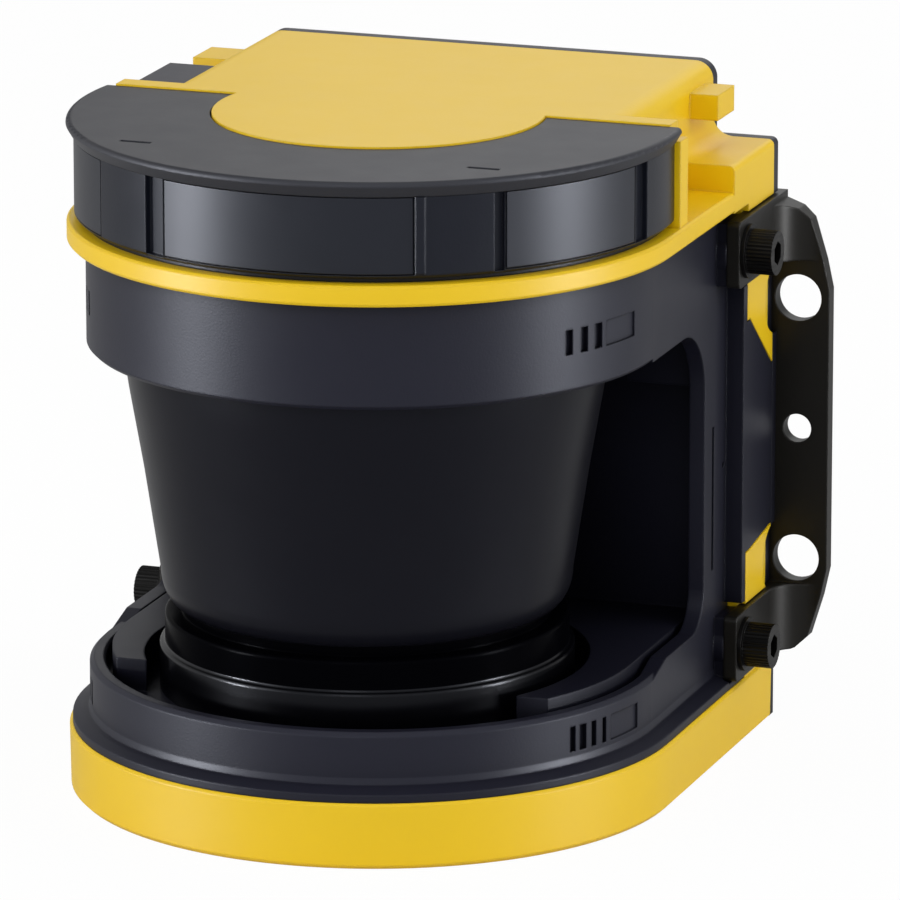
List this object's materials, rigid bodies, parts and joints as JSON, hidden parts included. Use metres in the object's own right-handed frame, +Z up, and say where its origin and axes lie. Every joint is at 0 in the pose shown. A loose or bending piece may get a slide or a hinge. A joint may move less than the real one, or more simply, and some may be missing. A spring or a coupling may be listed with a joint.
{
  "type": "safety laser scanner",
  "caption": "Safety laser scanner with a dark cone window between a hood and a round base, a yellow cast body and a rear bracket.",
  "frame": {"origin": "on the underside, at the centre of the round front", "axes": "+X to the scanner's side (right when facing its front), -Y towards the front, +Z up"},
  "size_m": [0.1336, 0.1249, 0.1265],
  "materials": {
    "yellow_casting": "satin",
    "black_moulding": "fine grained",
    "window_moulding": "satin",
    "gloss_window": "glossy",
    "seal_rubber": "matte",
    "black_coated_steel": "satin",
    "black_screw_steel": "black oxide",
    "plain_steel": "satin",
    "insert_brass": "satin",
    "machined_aluminium": "satin",
    "dark_aluminium": "black anodised",
    "copper_winding": "satin",
    "mirror_coating": "mirror",
    "optic_glass": "polished",
    "board_green": "satin",
    "part_plastic": "matte",
    "plated_connector": "nickel"
  },
  "bodies": {
    "housing": {"base_housing": "yellow_casting", "front_cover": "black_moulding", "collar_ring": "black_moulding", "scan_window": "window_moulding", "lower_seal": "seal_rubber", "upper_seal": "seal_rubber", "rear_housing": "yellow_casting", "sensor_drum": "black_moulding", "indicator_window": "gloss_window", "camera_windows": "gloss_window", "top_cap": "black_moulding", "service_cover": "black_moulding", "rear_cover": "black_moulding", "mounting_bracket": "black_coated_steel", "bracket_screws": "black_screw_steel", "thread_inserts": "insert_brass", "base_screws": "plain_steel", "cover_screws": "black_screw_steel", "motor_plate": "machined_aluminium", "motor_screws": "plain_steel", "motor_stator": "copper_winding", "bearings": "plain_steel", "encoder_sensor": "part_plastic", "lens_holder": "dark_aluminium", "receiver_lens": "optic_glass", "laser_module": "dark_aluminium", "receiver_board": "board_green", "main_board": "board_green", "board_standoffs": "insert_brass", "connector_inlet": "plated_connector", "camera_modules": "part_plastic", "camera_lenses": "optic_glass", "indicator_board": "board_green"},
    "rotor": {"rotor_shaft": "plain_steel", "rotor_bell": "machined_aluminium", "mirror_hub": "machined_aluminium", "encoder_disc": "plain_steel", "mirror_holder": "dark_aluminium", "scan_mirror": "mirror_coating"}
  },
  "joints": [
    {"name": "mirror_spin", "type": "hinge", "parent": "housing", "child": "rotor", "pos_m": [0, -0.0055, 0.0689], "axis": [0, 0, 1], "continuous": true}
  ]
}
